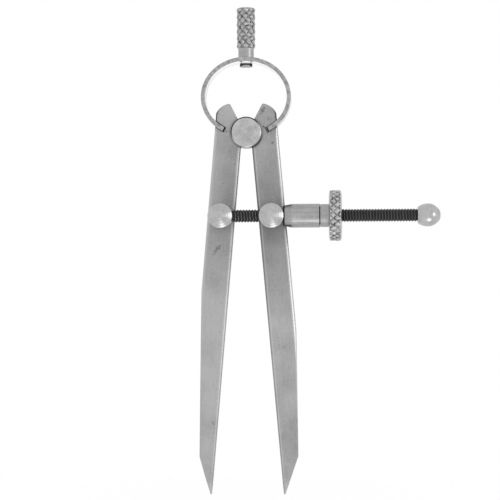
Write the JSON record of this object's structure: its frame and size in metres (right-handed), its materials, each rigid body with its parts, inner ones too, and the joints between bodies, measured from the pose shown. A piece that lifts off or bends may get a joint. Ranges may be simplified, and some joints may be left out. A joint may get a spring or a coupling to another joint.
{
  "type": "spring divider",
  "caption": "Spring divider: flat pointed legs turn on a fulcrum under a round bow spring with a knurled handle; a nut on a threaded screw sets how far apart the points stand.",
  "frame": {"origin": "middle of the knurled grip, on the handle's axis", "axes": "+Z along the handle, away from the points; +X to the right, towards the nut and the ball; -Y to the front, where the screw lies"},
  "size_m": [0.0662, 0.0153, 0.1341],
  "materials": {
    "leg_steel": "satin ground steel with faint specks",
    "turned_steel": "bright turned steel",
    "spring_steel": "satin spring steel strip",
    "knurled_steel": "diamond-knurled steel",
    "black_steel": "black oxide on a cut thread"
  },
  "bodies": {
    "head": {"fulcrum_stud": "turned_steel", "fulcrum_disc": "turned_steel", "bow_spring": "spring_steel", "handle": "knurled_steel"},
    "left_leg": {"left_leg": "leg_steel"},
    "right_leg": {"right_leg": "leg_steel"},
    "left_swivel": {"left_post": "turned_steel", "left_washer": "turned_steel", "adjusting_screw": "black_steel", "stop_ball": "turned_steel"},
    "right_swivel": {"right_post": "turned_steel", "right_washer": "turned_steel", "nut_sleeve": "turned_steel"},
    "nut": {"adjusting_nut": "knurled_steel"}
  },
  "joints": [
    {"name": "left_leg_turn", "type": "hinge", "parent": "head", "child": "left_leg", "pos_m": [0, 0, -0.02898], "axis": [0, 1, 0], "range_deg": [-5.3, 27.5], "deforming": ["bow_spring"]},
    {"name": "right_leg_turn", "type": "hinge", "parent": "head", "child": "right_leg", "pos_m": [0, 0, -0.02898], "axis": [0, -1, 0], "range_deg": [-5.3, 27.5], "deforming": ["bow_spring"]},
    {"name": "left_post_swivel", "type": "hinge", "parent": "left_leg", "child": "left_swivel", "pos_m": [-0.007, 0, -0.05216], "axis": [0, -1, 0], "range_deg": [-5.3, 27.5]},
    {"name": "right_post_swivel", "type": "hinge", "parent": "right_leg", "child": "right_swivel", "pos_m": [0.007, 0, -0.05216], "axis": [0, 1, 0], "range_deg": [-5.3, 27.5]},
    {"name": "nut_turn", "type": "hinge", "parent": "right_swivel", "child": "nut", "pos_m": [0.007, -0.005, -0.05216], "axis": [1, 0, 0], "range_deg": [-1757, 9117]}
  ],
  "couplings": [
    {"joint": "left_leg_turn", "follows": "nut_turn", "ratio": 0.0030162},
    {"joint": "right_leg_turn", "follows": "nut_turn", "ratio": 0.0030162},
    {"joint": "left_post_swivel", "follows": "nut_turn", "ratio": 0.0030162},
    {"joint": "right_post_swivel", "follows": "nut_turn", "ratio": 0.0030162}
  ]
}
